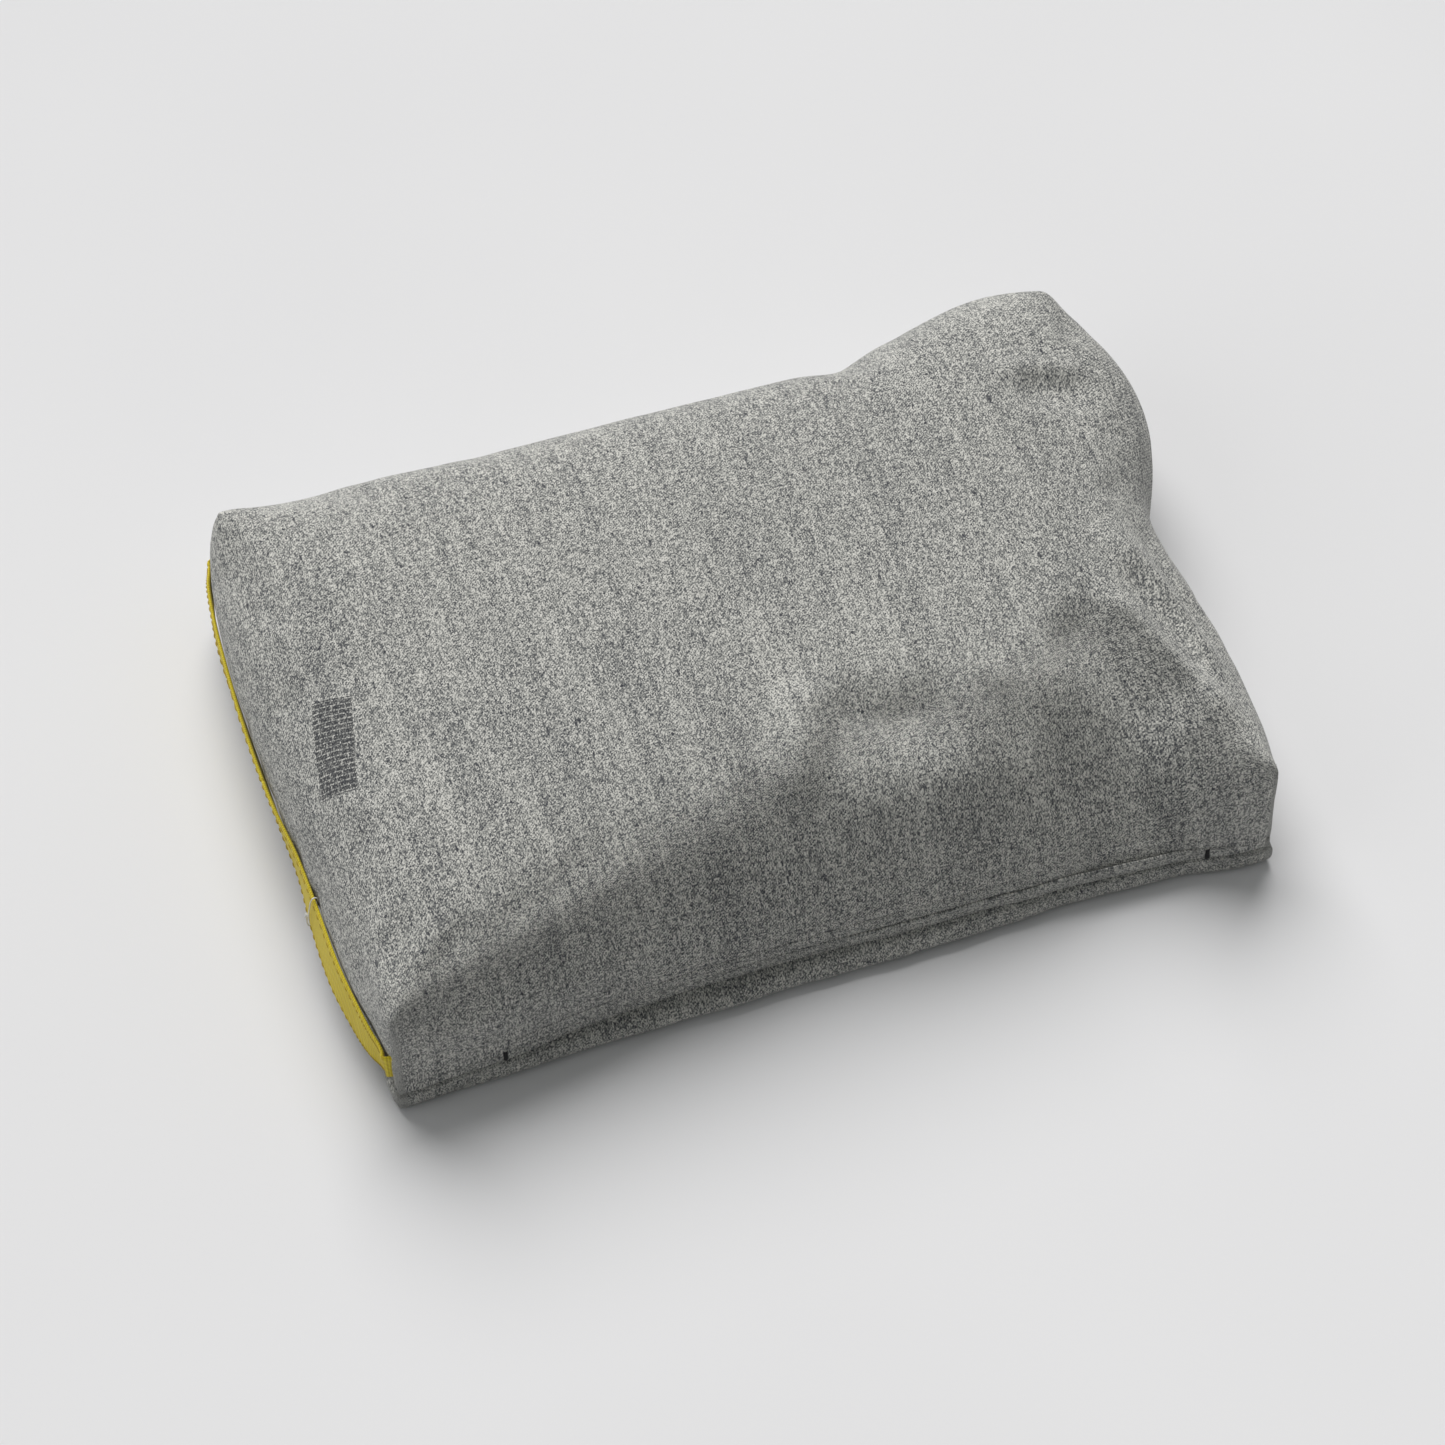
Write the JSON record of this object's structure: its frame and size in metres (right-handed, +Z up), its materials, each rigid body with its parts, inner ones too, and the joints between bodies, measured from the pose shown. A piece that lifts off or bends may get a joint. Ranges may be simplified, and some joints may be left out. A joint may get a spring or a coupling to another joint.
{
  "type": "camp pillow",
  "caption": "Boxy stuffed pillow in a woven cover, with a concealed zip along its front lower edge and a webbing carry strap across its left end.",
  "frame": {"origin": "middle of the footprint, on the surface that the pillow lies on", "axes": "+X along the long side, away from the carry strap; +Y across, away from the zip; +Z up, the pillow's thickness"},
  "size_m": [0.544, 0.361, 0.117],
  "materials": {
    "cover_cloth": "heathered grey cotton, matt",
    "case_cloth": "plain undyed cotton, matt",
    "fill_fibre": "white polyester fibre",
    "webbing": "yellow woven webbing, slightly glossy",
    "webbing_thread": "ochre sewing thread",
    "white_thread": "white cotton thread",
    "black_thread": "black sewing thread",
    "zip_tape": "dark grey woven tape",
    "zip_coil": "dark nylon coil",
    "zip_metal": "nickel plated"
  },
  "bodies": {
    "pillow": {"cover_top_panel": "cover_cloth", "cover_bottom_panel": "cover_cloth", "zip_fly": "cover_cloth", "fly_bar_tack_left": "black_thread", "fly_bar_tack_right": "black_thread", "zip_tape_upper": "zip_tape", "zip_tape_lower": "zip_tape", "zip_coil_upper": "zip_coil", "zip_coil_lower": "zip_coil", "zip_bottom_stop": "zip_metal", "zip_top_stop_upper": "zip_metal", "zip_top_stop_lower": "zip_metal", "strap_sewn_end_front": "webbing", "strap_sewn_end_back": "webbing", "inner_case_top": "case_cloth", "inner_case_bottom": "case_cloth", "fibre_fill": "fill_fibre"},
    "slider": {"zip_slider": "zip_metal"},
    "pull": {"zip_pull": "zip_metal"},
    "strap": {"strap": "webbing", "strap_stitching_upper": "webbing_thread", "strap_stitching_lower": "webbing_thread", "tag_thread_loop": "white_thread"}
  },
  "joints": [
    {"name": "zip_slider_travel", "type": "slide", "parent": "pillow", "child": "slider", "axis": [1, 0, 0], "range_m": [-0.375, 0]},
    {"name": "zip_pull_swing", "type": "hinge", "parent": "slider", "child": "pull", "pos_m": [0.19982, -0.16485, 0.0245], "axis": [0, 0, 1], "range_deg": [0, 100], "deforming": ["zip_fly"]},
    {"name": "strap_pull", "type": "slide", "parent": "pillow", "child": "strap", "axis": [-1, 0, 0], "range_m": [0, 0.03]}
  ]
}
